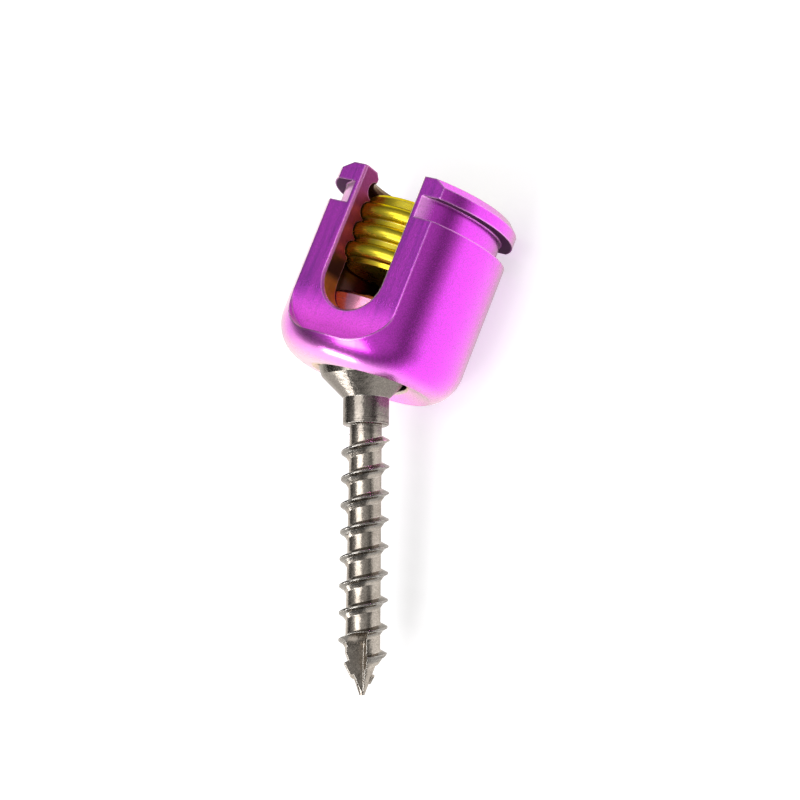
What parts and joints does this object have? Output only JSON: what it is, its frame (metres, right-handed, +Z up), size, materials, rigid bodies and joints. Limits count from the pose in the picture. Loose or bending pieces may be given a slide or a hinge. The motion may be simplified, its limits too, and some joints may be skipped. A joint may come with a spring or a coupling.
{
  "type": "polyaxial pedicle screw",
  "caption": "Polyaxial spine screw lying on its side: slotted receiver with set screw, pressure insert and a ball-headed bone screw.",
  "frame": {"origin": "on the surface the part lies on, under the middle of its footprint", "axes": "+X along the receiver toward the tops of its arms, +Z up out of the receiver's front flat, +Y to the receiver's left side"},
  "size_m": [0.0404, 0.0168, 0.0147],
  "materials": {
    "purple_titanium": "anodised titanium, satin",
    "gold_titanium": "anodised titanium, bright",
    "bright_titanium": "machined titanium",
    "grey_titanium": "machined titanium"
  },
  "bodies": {
    "receiver": {"tulip_head": "purple_titanium"},
    "closure": {"set_screw": "gold_titanium"},
    "insert": {"pressure_insert": "bright_titanium"},
    "screw": {"bone_screw": "grey_titanium"}
  },
  "joints": [
    {"name": "set_screw_turn", "type": "hinge", "parent": "receiver", "child": "closure", "pos_m": [0.01199, 0.00067, 0.00663], "axis": [0.9946, 0, -0.1034], "continuous": true},
    {"name": "screw_swivel", "type": "hinge", "parent": "receiver", "child": "insert", "pos_m": [0.00532, 0.00067, 0.00732], "axis": [0.9946, 0, -0.1034], "continuous": true},
    {"name": "screw_tilt", "type": "hinge", "parent": "insert", "child": "screw", "pos_m": [0.00532, 0.00067, 0.00732], "axis": [0.091, -0.4742, 0.8757], "range_deg": [-45.59, 4.41]}
  ]
}
